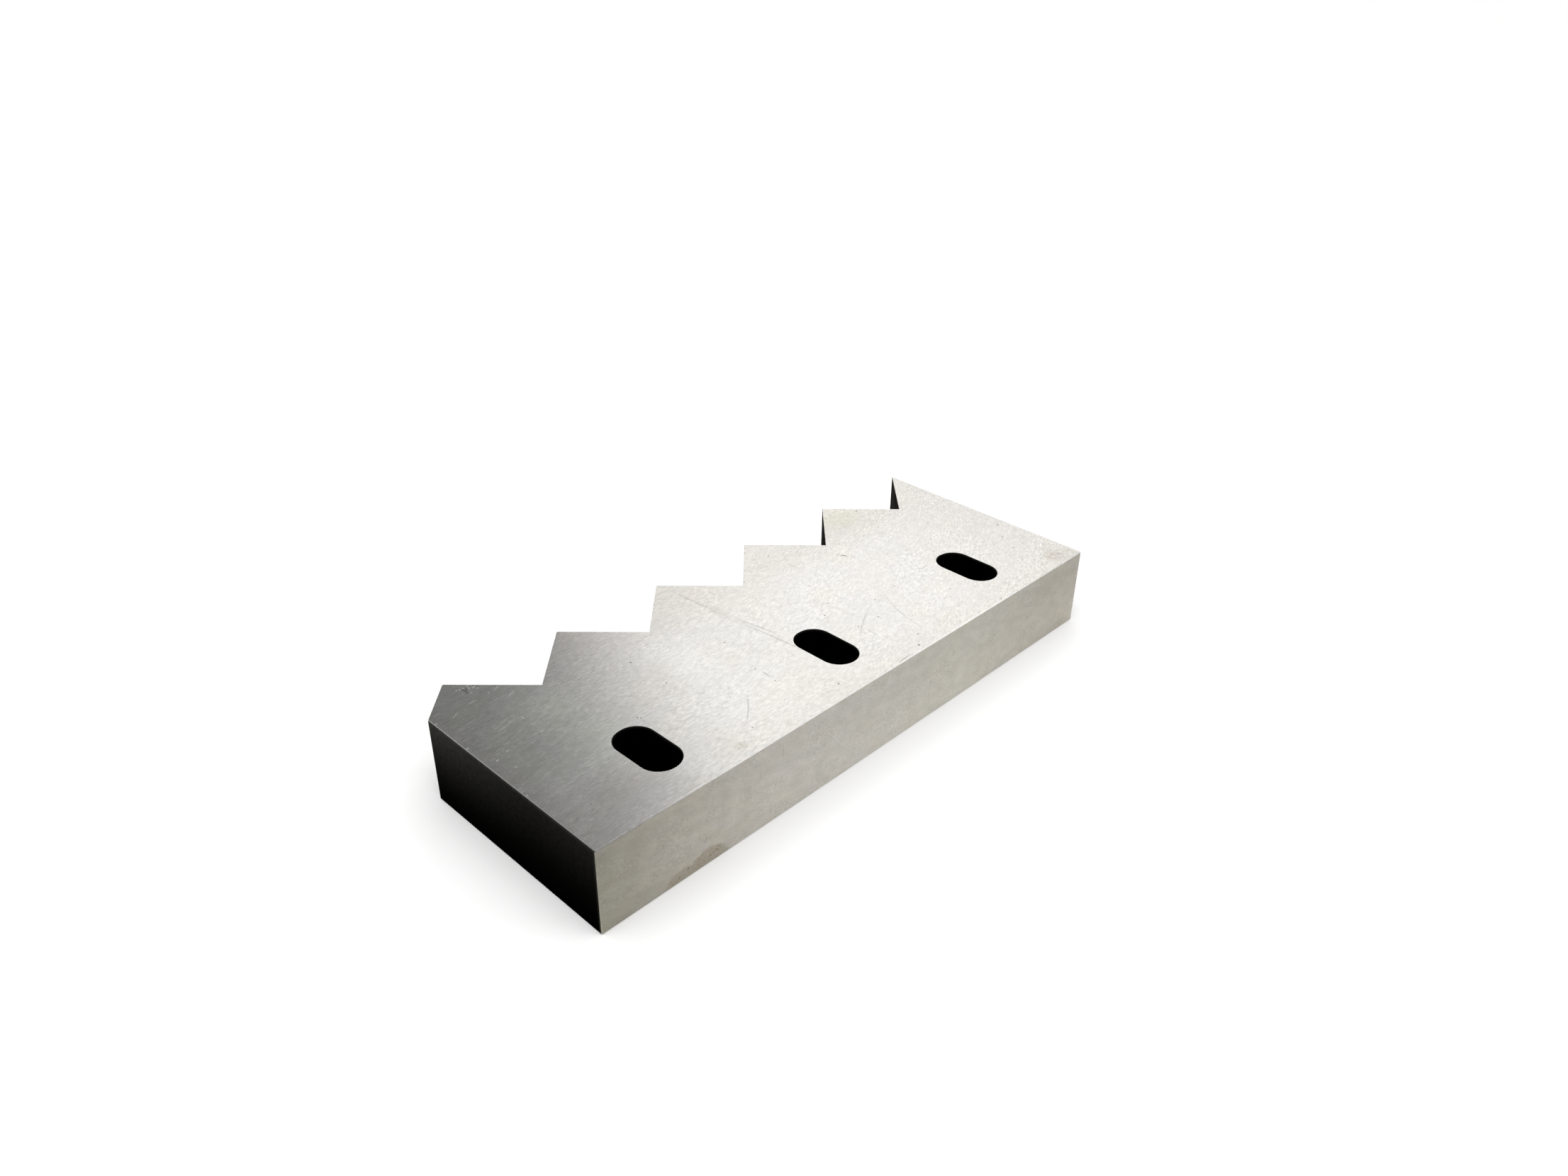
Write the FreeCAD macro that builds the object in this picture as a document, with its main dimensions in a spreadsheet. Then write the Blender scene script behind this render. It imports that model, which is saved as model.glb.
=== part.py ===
import FreeCAD, Part
import math
import os

import Sketcher

# Fixed blade of a plastics shredder, one solid bar of tool steel.
# +X runs along the cutting edge to the butt end, where the next blade of the row sits.
# The teeth point to +Y, the straight back edge lies at -Y and the seat face is at z = 0.
# The origin is the centre of the seat face's outline.

# Driving sizes in millimetres and degrees: name, value, meaning
DRIVING_SIZES = [
    ("blade_length", "300", "plain end to butt end"),
    ("blade_width", "120", "straight back edge to tooth tips"),
    ("blade_thickness", "39", "seat face to ground top face"),
    ("tooth_pitch", "56.57", "tip to tip, the diagonal of a 40 mm square rotor knife"),
    ("notch_angle", "90", "between the two flanks of a notch"),
    ("tip_land", "0.4", "flat left on each tooth tip by grinding"),
    ("notch_overrun", "3", "how far the notch cut runs out past the tips"),
    ("slot_count", "3", "bolt slots along the blade"),
    ("slot_width", "17", "clear of a 16 mm bolt"),
    ("slot_length", "31", "end to end, so that the blade can be moved up as it wears"),
    ("slot_back_margin", "30.5", "back edge to the middle of a slot"),
    ("slot_plain_margin", "48.7", "plain end to the first slot"),
    ("slot_butt_margin", "52.5", "butt end to the last slot"),
    ("edge_break", "0.5", "on the edges that don't cut"),
    ("slot_edge_break", "0.5", "on the rims of the slots"),
]

NODE = "shredder_blade"
TOLERANCE = 1e-6

# The two ends of an edge, the centre of an arc, and the sketch's own horizontal axis and origin
START = 1
END = 2
CENTRE = 3
SKETCH_AXIS = -1
SKETCH_ORIGIN = 1


def add_sizes(doc):
    """The table of driving sizes, each value under its own name."""
    sheet = doc.addObject("Spreadsheet::Sheet", "Sizes")
    for row, (alias, value, meaning) in enumerate(DRIVING_SIZES, start=1):
        sheet.set(f"A{row}", alias)
        sheet.set(f"B{row}", value)
        sheet.setAlias(f"B{row}", alias)
        sheet.set(f"C{row}", meaning)
    doc.recompute()
    return sheet


def origin_feature(body, role):
    """One of the body's own base planes or axes."""
    for feature in body.Origin.OriginFeatures:
        if feature.Role == role:
            return feature
    raise RuntimeError(f"the body has no {role}")


def new_sketch(body, name):
    """An empty sketch in the plane of the seat face."""
    sketch = body.newObject("Sketcher::SketchObject", name)
    sketch.AttachmentSupport = [(origin_feature(body, "XY_Plane"), "")]
    sketch.MapMode = "FlatFace"
    return sketch


def relate(sketch, *relation):
    """Add a geometric relation, such as a tangent or an equal pair."""
    sketch.addConstraint(Sketcher.Constraint(*relation))


def dimension(sketch, name, formula, *definition):
    """Add a named dimension and tie it to the driving sizes."""
    index = sketch.addConstraint(Sketcher.Constraint(*definition))
    sketch.renameConstraint(index, name)
    sketch.setExpression(f"Constraints.{name}", formula)


def line(start, end):
    return Part.LineSegment(FreeCAD.Vector(*start, 0), FreeCAD.Vector(*end, 0))


def arc(centre, radius, start_angle, end_angle):
    circle = Part.Circle(FreeCAD.Vector(*centre, 0), FreeCAD.Vector(0, 0, 1), radius)
    return Part.ArcOfCircle(circle, start_angle, end_angle)


def join_in_a_ring(sketch, edges, relation):
    """Close an outline: each edge's end meets the next edge's start."""
    for edge, following in zip(edges, edges[1:] + edges[:1]):
        relate(sketch, relation, edge, END, following, START)


def polygon(sketch, corners):
    """A closed outline of straight edges, the first from the first corner to the second."""
    sides = [line(start, end) for start, end in zip(corners, corners[1:] + corners[:1])]
    edges = list(sketch.addGeometry(sides, False))
    join_in_a_ring(sketch, edges, "Coincident")
    return edges


def bar_blank(doc, body, sheet):
    """The bar, sawn to length and ground square on all six faces."""
    half_length = sheet.blade_length / 2
    half_width = sheet.blade_width / 2
    sketch = new_sketch(body, "bar_outline")
    back, butt_end, front, plain_end = polygon(sketch, [
        (-half_length, -half_width),
        (half_length, -half_width),
        (half_length, half_width),
        (-half_length, half_width),
    ])
    for edge in (back, front):
        relate(sketch, "Horizontal", edge)
    for edge in (butt_end, plain_end):
        relate(sketch, "Vertical", edge)
    relate(sketch, "Symmetric", back, START, front, START, SKETCH_AXIS, SKETCH_ORIGIN)
    dimension(sketch, "length", "Sizes.blade_length",
              "DistanceX", back, START, back, END, sheet.blade_length)
    dimension(sketch, "width", "Sizes.blade_width",
              "DistanceY", butt_end, START, butt_end, END, sheet.blade_width)

    bar = body.newObject("PartDesign::Pad", "bar")
    bar.Profile = (sketch, [""])
    bar.setExpression("Length", "Sizes.blade_thickness")
    doc.recompute()
    return bar


def break_outer_edges(doc, body, sheet, bar):
    """A small chamfer on every edge of the bar that isn't part of its front face.

    The front face's edges stay sharp, because the notches make the cutting edges from them."""
    front = sheet.blade_width / 2
    names = []
    for number, edge in enumerate(bar.Shape.Edges, start=1):
        if any(abs(vertex.Y - front) > TOLERANCE for vertex in edge.Vertexes):
            names.append(f"Edge{number}")
    chamfer = body.newObject("PartDesign::Chamfer", "edge_breaks")
    chamfer.Base = (bar, names)
    chamfer.setExpression("Size", "Sizes.edge_break")
    doc.recompute()
    return chamfer


def cut_through(doc, body, sketch, name):
    """Cut an outline upwards from the seat face through the whole thickness."""
    pocket = body.newObject("PartDesign::Pocket", name)
    pocket.Profile = (sketch, [""])
    pocket.Type = "ThroughAll"
    pocket.Reversed = True
    doc.recompute()
    return pocket


def row_along_blade(body, cut, name):
    """Repeat a cut along the blade. The caller ties its count and its spacing to the sizes."""
    row = body.newObject("PartDesign::LinearPattern", name)
    row.Originals = [cut]
    row.Direction = (origin_feature(body, "X_Axis"), [""])
    body.Tip = row
    return row


def tooth_row(doc, body, sheet):
    """V notches that leave a row of square-cornered teeth.

    The rotor's square knives sweep through them corner first. The row starts with a whole
    notch at the butt end, so that the pitch carries on into the next blade of the row, and
    the plain end cuts the last notch off part way along its flank."""
    half_mouth = (sheet.tooth_pitch - sheet.tip_land) / 2
    depth = half_mouth / math.tan(math.radians(sheet.notch_angle / 2))
    front = sheet.blade_width / 2
    root = (sheet.blade_length / 2 - sheet.tooth_pitch / 2, front - depth)
    sketch = new_sketch(body, "notch_outline")
    butt_flank, mouth, plain_flank = polygon(sketch, [
        root,
        (root[0] + half_mouth, front),
        (root[0] - half_mouth, front),
    ])
    relate(sketch, "Horizontal", mouth)
    relate(sketch, "Equal", butt_flank, plain_flank)
    dimension(sketch, "angle", "Sizes.notch_angle",
              "Angle", butt_flank, START, plain_flank, END, math.radians(sheet.notch_angle))
    dimension(sketch, "root_along_blade", "(Sizes.blade_length - Sizes.tooth_pitch) / 2",
              "DistanceX", SKETCH_AXIS, SKETCH_ORIGIN, butt_flank, START, root[0])
    dimension(sketch, "root_across_blade",
              "Sizes.blade_width / 2"
              " - (Sizes.tooth_pitch - Sizes.tip_land) / 2 / tan(Sizes.notch_angle / 2)",
              "DistanceY", SKETCH_AXIS, SKETCH_ORIGIN, butt_flank, START, root[1])
    dimension(sketch, "mouth_across_blade", "Sizes.blade_width / 2 + Sizes.notch_overrun",
              "DistanceY", SKETCH_AXIS, SKETCH_ORIGIN, mouth, START, front)

    notch = cut_through(doc, body, sketch, "notch")
    row = row_along_blade(body, notch, "tooth_row")
    row.Mode = "Spacing"
    row.Reversed = True
    row.setExpression("Offset", "Sizes.tooth_pitch")
    row.setExpression("Occurrences",
                      "ceil((Sizes.blade_length - Sizes.tip_land / 2) / Sizes.tooth_pitch)")
    doc.recompute()
    return row


def bolt_slots(doc, body, sheet):
    """Round-ended slots that run across the blade, so that it can be moved up to the rotor."""
    radius = sheet.slot_width / 2
    run = sheet.slot_length - sheet.slot_width
    middle_x = sheet.slot_plain_margin - sheet.blade_length / 2
    middle_y = sheet.slot_back_margin - sheet.blade_width / 2
    near = middle_y - run / 2
    far = middle_y + run / 2
    sketch = new_sketch(body, "slot_outline")
    outline = list(sketch.addGeometry([
        line((middle_x + radius, near), (middle_x + radius, far)),
        arc((middle_x, far), radius, 0, math.pi),
        line((middle_x - radius, far), (middle_x - radius, near)),
        arc((middle_x, near), radius, math.pi, 2 * math.pi),
    ], False))
    butt_side, front_end, plain_side, back_end = outline
    join_in_a_ring(sketch, outline, "Tangent")
    relate(sketch, "Vertical", butt_side)
    dimension(sketch, "end_radius", "Sizes.slot_width / 2", "Radius", front_end, radius)
    dimension(sketch, "run", "Sizes.slot_length - Sizes.slot_width",
              "DistanceY", back_end, CENTRE, front_end, CENTRE, run)
    dimension(sketch, "along_blade", "Sizes.blade_length / 2 - Sizes.slot_plain_margin",
              "DistanceX", back_end, CENTRE, SKETCH_AXIS, SKETCH_ORIGIN, -middle_x)
    dimension(sketch, "across_blade",
              "Sizes.blade_width / 2 - Sizes.slot_back_margin"
              " + (Sizes.slot_length - Sizes.slot_width) / 2",
              "DistanceY", back_end, CENTRE, SKETCH_AXIS, SKETCH_ORIGIN, -near)

    slot = cut_through(doc, body, sketch, "slot")
    row = row_along_blade(body, slot, "slot_row")
    row.Mode = "Extent"
    row.setExpression("Length",
                      "Sizes.blade_length - Sizes.slot_plain_margin - Sizes.slot_butt_margin")
    row.setExpression("Occurrences", "Sizes.slot_count")
    doc.recompute()
    return row


def break_slot_rims(doc, body, slots):
    """A small chamfer round both rims of every slot, carried on from its round ends."""
    names = []
    for number, edge in enumerate(slots.Shape.Edges, start=1):
        if isinstance(edge.Curve, Part.Circle):
            names.append(f"Edge{number}")
    chamfer = body.newObject("PartDesign::Chamfer", "slot_rims")
    chamfer.Base = (slots, names)
    chamfer.setExpression("Size", "Sizes.slot_edge_break")
    doc.recompute()
    return chamfer


def check_document(doc, body):
    """No failed object, and one valid solid."""
    for item in doc.Objects:
        if "Invalid" in item.State or "Error" in item.State:
            raise RuntimeError(f"{item.Label} failed: {item.State}")
    shape = body.Shape
    if shape.isNull() or not shape.isValid():
        raise RuntimeError(f"{body.Label} has no valid shape")
    if len(shape.Solids) != 1:
        raise RuntimeError(f"{body.Label} is {len(shape.Solids)} solids, not one")


def check_cuts(steps):
    """Every step after the bar has to take metal away."""
    for before, after in zip(steps, steps[1:]):
        removed = before.Shape.Volume - after.Shape.Volume
        print(f"{after.Label} removes {removed:.1f} mm3")
        if removed <= TOLERANCE:
            raise RuntimeError(f"{after.Label} cuts nothing")


def build():
    doc = FreeCAD.newDocument("shredder_blade")
    sheet = add_sizes(doc)
    body = doc.addObject("PartDesign::Body", "Blade")
    body.Label = NODE
    bar = bar_blank(doc, body, sheet)
    edges = break_outer_edges(doc, body, sheet, bar)
    teeth = tooth_row(doc, body, sheet)
    slots = bolt_slots(doc, body, sheet)
    rims = break_slot_rims(doc, body, slots)
    body.Tip = rims
    doc.recompute()

    check_document(doc, body)
    check_cuts([bar, edges, teeth, slots, rims])
    box = body.Shape.BoundBox
    print(f"{NODE}: {box.XLength:.2f} x {box.YLength:.2f} x {box.ZLength:.2f} mm,"
          f" {body.Shape.Volume / 1000:.1f} cm3, {len(body.Shape.Faces)} faces")
    os.makedirs("parts", exist_ok=True)
    body.Shape.exportStep(f"parts/{NODE}.step")


build()
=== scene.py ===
# %% [markdown]
# # A plastic shredder blade in Blender
#
# The blade is one bar of tool steel, 300 mm long, with a row of V notches along one side and
# three bolt slots. Its shape comes ready made from the packed CAD model. This lesson adds what
# makes it look like a photograph of steel: a camera, the lights, and one finish that knows which
# face it is on. The first cell loads the model as a fixed frame. Nothing in that frame is moved.

# %% Load the packed model
import math

import bpy
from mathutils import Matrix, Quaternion, Vector


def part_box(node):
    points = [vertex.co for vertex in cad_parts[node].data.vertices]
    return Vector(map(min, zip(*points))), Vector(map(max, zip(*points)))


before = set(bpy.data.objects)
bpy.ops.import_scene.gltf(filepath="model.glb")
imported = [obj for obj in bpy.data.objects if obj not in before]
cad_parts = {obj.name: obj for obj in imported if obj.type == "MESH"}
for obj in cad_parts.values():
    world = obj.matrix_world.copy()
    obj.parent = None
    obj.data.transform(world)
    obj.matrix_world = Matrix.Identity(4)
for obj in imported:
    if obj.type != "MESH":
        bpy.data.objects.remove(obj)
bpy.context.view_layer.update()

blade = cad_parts["shredder_blade"]
blade_low, blade_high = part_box("shredder_blade")
print("blade from", blade_low, "to", blade_high, "in metres")

# %% [markdown]
# ## Where the camera stands
#
# The blade is seen from above its plain end, looking down its length. A camera can be turned by
# three angles, but a point to stand on and a point to look at are easier to read and to change. A
# camera held by hand is never quite level, so a small tilt is added about the line of sight. The
# lamps are aimed in the same way, so the helper serves both.

# %% Aiming
def aimed(eye, aim, roll=0.0):
    """The rotation of a camera or a lamp that looks from one point to another."""
    level = (Vector(aim) - Vector(eye)).to_track_quat("-Z", "Y")
    return (level @ Quaternion((0.0, 0.0, 1.0), roll)).to_euler()


print("looking straight down turns by", [round(angle, 3) for angle in aimed((0, 0, 1), (0, 0, 0))])

# %% [markdown]
# ## The lens
#
# The lens sets how quickly the blade narrows towards its far end. A phone held close would
# stretch the plain end, and a long lens would make both ends nearly the same width. This one is a
# little wider than the eye sees, as most workshop pictures are.

# %% The camera
SENSOR_WIDTH = 36.0
LENS = 27.735
EYE = Vector((-0.32718, -0.31417, 0.31999))
AIM = Vector((0.04412, 0.03974, 0.02000))
HAND_TILT = math.radians(0.963)
NEAREST = 0.01
FARTHEST = 200.0

camera_data = bpy.data.cameras.new("camera")
camera_data.sensor_width = SENSOR_WIDTH
camera_data.lens = LENS
camera_data.clip_start = NEAREST
camera_data.clip_end = FARTHEST
camera = bpy.data.objects.new("camera", camera_data)
camera.location = EYE
camera.rotation_euler = aimed(EYE, AIM, HAND_TILT)
bpy.context.scene.collection.objects.link(camera)
bpy.context.scene.camera = camera
print("camera to the aim point:", round((AIM - EYE).length, 3), "m")

# %% [markdown]
# ## Soft windows
#
# Ground steel hardly has a colour of its own: it shows what stands round it. On this blade the
# plain end is grey and everything past the first slot is nearly white, with a soft edge between
# the two that runs across the blade. That edge is the mirror image of the side of one large
# light, behind the blade and to its right. So this light is hung first, and turned until its
# image ends in the right place. Two weaker ones light the long back face and the notches. A
# softbox is given by the brightness of its sheet, and its power follows from its area, so its
# size can change without making it brighter in the mirror.

# %% Hanging a softbox
def hang_window(name, at, towards, side, glow, roll=0.0):
    """A square softbox whose sheet glows evenly; the power is the glow times pi times its area."""
    lamp = bpy.data.lights.new(name, "AREA")
    lamp.shape = "SQUARE"
    lamp.size = side
    lamp.energy = glow * math.pi * side * side
    placed = bpy.data.objects.new(name, lamp)
    placed.location = at
    placed.rotation_euler = aimed(at, towards, roll)
    placed.visible_camera = False
    bpy.context.scene.collection.objects.link(placed)
    print(name, round(lamp.energy, 2), "W")


hang_window("window_light", at=(1.256, 0.767, 0.869), towards=(0.064, 0.079, -0.131),
            side=1.3, glow=1.10, roll=math.radians(34.2))
hang_window("back_face_light", at=(1.10, -1.30, 1.05), towards=(0.0, -0.06, 0.0),
            side=1.2, glow=0.85)
hang_window("notch_light", at=(-0.25, 1.10, 1.90), towards=(0.0, 0.0, 0.0),
            side=1.1, glow=0.90)

# %% [markdown]
# ## A very soft sun
#
# A sun shines the same everywhere, so it lights the floor evenly, near and far. This one is
# spread over a wide part of the sky, like a bright overcast, and leaves only a faint shadow at
# the foot of the blade. The ground top would mirror it as a white patch, wherever a camera stands
# opposite it. So it is linked to the floor alone, once there is one, and the blade gets its light
# from the windows and the room.

# %% The sun
SUN_AT = (-0.9, -0.7, 2.6)
SUN_STRENGTH = 2.5
SUN_SPREAD = math.radians(110.0)

sun = bpy.data.lights.new("soft_sun", "SUN")
sun.energy = SUN_STRENGTH
sun.angle = SUN_SPREAD
placed_sun = bpy.data.objects.new("soft_sun", sun)
placed_sun.location = SUN_AT
placed_sun.rotation_euler = aimed(SUN_AT, (0.0, 0.0, 0.0))
bpy.context.scene.collection.objects.link(placed_sun)
print("sun", sun.energy, "over", round(math.degrees(sun.angle)), "degrees")

# %% [markdown]
# ## Writing node trees as sums
#
# A material is a tree of nodes joined by wires. Placing forty nodes by hand is slow to write and
# slow to read, while `1 - mask` says what is meant. The class below wraps one socket. Adding or
# multiplying two of them adds a Math node to the tree, and every other kind of node comes from
# the one method `node`, which takes the node's type, its settings, and what goes into its inputs.
# Colours and vectors have methods of their own, because a Math node would turn a colour grey.

# %% A wire that can be used in sums
# A Mix node has sockets for every kind of value. These are the factor and the ones for colours.
MIX_FACTOR = 0
MIX_UNDER = 6
MIX_OVER = 7
MIX_RESULT = 2


class Wire:
    """One socket of a node tree. Sums on wires become Math nodes in that tree."""

    def __init__(self, tree, socket=None):
        self.tree = tree
        self.socket = socket

    def node(self, kind, settings=None, inputs=None, output=0):
        """Adds a node: settings first, then a number or a wire for each input, by name or place."""
        made = self.tree.nodes.new(kind)
        for name, value in (settings or {}).items():
            if name == "stops":
                self.set_stops(made.color_ramp, value)
            else:
                setattr(made, name, value)
        for place, value in (inputs or {}).items():
            if isinstance(value, Wire):
                self.tree.links.new(value.socket, made.inputs[place])
            else:
                made.inputs[place].default_value = value
        return Wire(self.tree, made.outputs[output])

    @staticmethod
    def set_stops(ramp, stops):
        """Gives a colour ramp its stops, each a place from 0 to 1 and a colour."""
        while len(ramp.elements) < len(stops):
            ramp.elements.new(1.0)
        for element, (place, colour) in zip(ramp.elements, stops):
            element.position = place
            element.color = (*colour, 1.0)

    def math(self, operation, first, second=0.0):
        """A Math node, for sums and for whatever has no sign of its own in Python."""
        return self.node("ShaderNodeMath", {"operation": operation}, {0: first, 1: second})

    def __add__(self, other):
        return self.math("ADD", self, other)

    def __radd__(self, other):
        return self.math("ADD", other, self)

    def __sub__(self, other):
        return self.math("SUBTRACT", self, other)

    def __rsub__(self, other):
        return self.math("SUBTRACT", other, self)

    def __mul__(self, other):
        return self.math("MULTIPLY", self, other)

    def __rmul__(self, other):
        return self.math("MULTIPLY", other, self)

    def __abs__(self):
        return self.math("ABSOLUTE", self)

    def most(self, other):
        """The larger of two values, which lays one mark over another."""
        return self.math("MAXIMUM", self, other)

    def rise(self, low, high, at_low=0.0, at_high=1.0):
        """A smooth step: one value below low, the other above high."""
        return self.node("ShaderNodeMapRange", {"interpolation_type": "SMOOTHSTEP"},
                         {0: self, 1: low, 2: high, 3: at_low, 4: at_high})

    def fall(self, low, high):
        """A smooth step down: one below low, nothing above high."""
        return self.rise(low, high, 1.0, 0.0)

    def split(self):
        """The three parts of a vector."""
        parts = self.node("ShaderNodeSeparateXYZ", {}, {0: self}).socket.node
        return [Wire(self.tree, output) for output in parts.outputs]

    def moved(self, factor, plus):
        """A vector times a factor plus another vector."""
        return self.node("ShaderNodeVectorMath", {"operation": "MULTIPLY_ADD"},
                         {0: self, 1: factor, 2: plus})

    def length(self):
        """How long a vector is."""
        return self.node("ShaderNodeVectorMath", {"operation": "LENGTH"}, {0: self}, "Value")

    def reach_along(self, direction):
        """How far a vector goes along a direction, as the dot product of the two."""
        return self.node("ShaderNodeVectorMath", {"operation": "DOT_PRODUCT"},
                         {0: self, 1: direction}, "Value")

    def tinted(self, colour, amount):
        """This colour with another one laid over it by an amount from 0 to 1."""
        return self.node("ShaderNodeMix", {"data_type": "RGBA"},
                         {MIX_FACTOR: amount, MIX_UNDER: self, MIX_OVER: colour}, MIX_RESULT)

    def dimmed(self, amount):
        """A colour made darker or lighter by a factor, all three parts alike."""
        return self.node("ShaderNodeVectorMath", {"operation": "SCALE"}, {0: self, "Scale": amount})

    def warmed(self, amount):
        """A colour made yellower by an amount: a little less green and clearly less blue."""
        warm_cast = (1.0, 0.97, 0.91)
        return self.tinted(self.moved(warm_cast, (0.0, 0.0, 0.0)), amount)

    def shown_by(self, kind, place):
        """Joins a finished shader to the tree's output node."""
        self.tree.links.new(self.socket, self.tree.nodes.new(kind).inputs[place])


print("methods of a wire:", len([name for name in vars(Wire) if not name.startswith("__")]))

# %% [markdown]
# ## The room
#
# The world is a pale room with one dim side, in the direction that the plain end mirrors. The
# blade shows both: the dim side makes the plain end grey, and from other sides the top mirrors
# the pale part. Only the camera sees the room as white, so that a low view has a white background
# too. The room is a sum on the direction of a ray: how far it reaches along the middle of the dim
# side.

# %% World nodes
ROOM_DIM = 0.184
ROOM_PALE = 0.45
DIM_SIDE = (0.539, 0.642, 0.545)
DIM_BEGINS = 0.45
DIM_IS_FULL = 0.75
WHITE_BACKGROUND = (1.0, 1.0, 1.0, 1.0)

room = bpy.data.worlds.new("room")
bpy.context.scene.world = room
bpy.context.scene.view_settings.view_transform = "Standard"
room.use_nodes = True
room.node_tree.nodes.clear()
wall = Wire(room.node_tree)
direction = wall.node("ShaderNodeTexCoord", {}, {}, "Generated")
room_light = direction.reach_along(DIM_SIDE).rise(DIM_BEGINS, DIM_IS_FULL, ROOM_PALE, ROOM_DIM)
seen_by_camera = wall.node("ShaderNodeLightPath")
room_shade = room_light.tinted(WHITE_BACKGROUND, seen_by_camera)
painted = wall.node("ShaderNodeBackground", {}, {"Color": room_shade})
painted.shown_by("ShaderNodeOutputWorld", "Surface")
print("nodes in the room:", len(room.node_tree.nodes))

# %% [markdown]
# ## The floor
#
# The blade lies on a plain pale sheet, one large square a tenth of a millimetre under its seat,
# so that the two never flicker. A light can be told what it lights, by a collection: here the sun
# gets one with nothing in it but the floor. The blade still stands in the sun's way, so its
# shadow stays.

# %% Floor sheet
FLOOR_REACH = 60.0
FLOOR_DROP = 0.0001
CORNERS = [(-1, -1), (1, -1), (1, 1), (-1, 1)]

floor_mesh = bpy.data.meshes.new("floor")
floor_mesh.from_pydata([(x * FLOOR_REACH, y * FLOOR_REACH, -FLOOR_DROP) for x, y in CORNERS], [],
                       [(0, 1, 2, 3)])
floor = bpy.data.objects.new("floor", floor_mesh)
bpy.context.scene.collection.objects.link(floor)

sunlit = bpy.data.collections.new("sunlit")
sunlit.objects.link(floor)
placed_sun.light_linking.receiver_collection = sunlit
print("floor", 2 * FLOOR_REACH, "m wide")

# %% [markdown]
# ## The floor's finish
#
# The sheet is matt and nearly white. A flat colour looks like a hole in the picture, and an image
# of a studio floor would repeat on a sheet this large, so a very faint noise clouds it. Every
# material here starts from an empty tree, so nothing of Blender's own choice is left in it.

# %% Floor finish
SHEET_DULL = (0.935, 0.935, 0.93, 1.0)
SHEET_BRIGHT = (0.965, 0.965, 0.96, 1.0)


def new_tree(material_name):
    """A material with an empty tree, and a bare wire to build on."""
    material = bpy.data.materials.new(material_name)
    material.use_nodes = True
    material.node_tree.nodes.clear()
    return material, Wire(material.node_tree)


pale_sheet, sheet = new_tree("pale_sheet")
ground = sheet.node("ShaderNodeTexCoord", {}, {}, "Object")
cloud = sheet.node("ShaderNodeTexNoise", {}, {"Vector": ground, "Scale": 3.0, "Detail": 3.0})
sheet_colour = sheet.node("ShaderNodeMix", {"data_type": "RGBA"},
                          {MIX_FACTOR: cloud, MIX_UNDER: SHEET_DULL, MIX_OVER: SHEET_BRIGHT},
                          MIX_RESULT)
matt = sheet.node("ShaderNodeBsdfPrincipled", {},
                  {"Base Color": sheet_colour, "Roughness": 0.9, "Specular IOR Level": 0.1})
matt.shown_by("ShaderNodeOutputMaterial", "Surface")
floor_mesh.materials.append(pale_sheet)
print("floor finish:", pale_sheet.name)

# %% [markdown]
# ## Broken edges
#
# A real edge is never perfectly sharp. A grinder leaves a tiny flat along it, and that flat
# catches the light as a thin bright line. The model's bar edges already have one. The cutting
# edges of the teeth don't, so two modifiers give them one of a tenth of a millimetre: Weld joins
# the faces, which arrive apart, and Bevel cuts every remaining sharp edge. Modifiers leave the
# model's own mesh as it is.

# %% Weld and bevel
EDGE_FLAT = 0.00012
SAME_POINT = 0.000001
SHARP_ANGLE = math.radians(50.0)

weld = blade.modifiers.new("join_faces", "WELD")
weld.merge_threshold = SAME_POINT
bevel = blade.modifiers.new("edge_flats", "BEVEL")
bevel.width = EDGE_FLAT
bevel.segments = 1
bevel.limit_method = "ANGLE"
bevel.angle_limit = SHARP_ANGLE
print("edge flats:", round(EDGE_FLAT * 1000.0, 2), "mm wide")

# %% [markdown]
# ## Knowing the place
#
# One finish covers the whole blade, so it has to know where it is. The object's own coordinates
# are turned into millimetres from the corner at the plain end: `along` runs down the blade,
# `across` from the straight back edge to the teeth, and `up` from the seat. A maker who measures
# a mark on the real blade with a rule can write the numbers straight in.

# %% Millimetres from the corner
MM = 1000.0
TOP = blade_high[2] * MM
LENGTH = (blade_high[0] - blade_low[0]) * MM
WIDTH = (blade_high[1] - blade_low[1]) * MM

blade_steel, steel = new_tree("ground_tool_steel")
own = steel.node("ShaderNodeTexCoord", {}, {}, "Object")
spot = own.moved((MM, MM, MM), (-MM * blade_low[0], -MM * blade_low[1], 0.0))
along, across, up = spot.split()
to_far_end = along * (1.0 / LENGTH)
print("blade", round(LENGTH), "x", round(WIDTH), "x", round(TOP), "mm")

# %% [markdown]
# ## Knowing the face
#
# The direction that a face points in tells a top from a wall, and a wall from an edge flat. Each
# test is a smooth step, so it is a mask from 0 to 1 that can be multiplied. The straight back
# face points away from the teeth, but so does one end of each slot, so its place counts too. The
# slots are found by their place alone.

# %% Face masks
# Each pair is where a smooth step begins and ends, first for directions and then in millimetres.
LEVEL = (0.93, 0.97)
UPRIGHT = (0.05, 0.15)
TO_THE_BACK = (-0.69, -0.60)
BACK_EDGE = (0.6, 0.8)
SLOTS_BEGIN = (13.0, 14.0)
SLOTS_END = (48.0, 49.0)
PAST_PLAIN_END = (20.0, 21.0)
BEFORE_BUTT_END = (LENGTH - 21.0, LENGTH - 20.0)

facing = steel.node("ShaderNodeNewGeometry", {}, {}, "True Normal")
face_x, face_y, face_z = facing.split()

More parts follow.
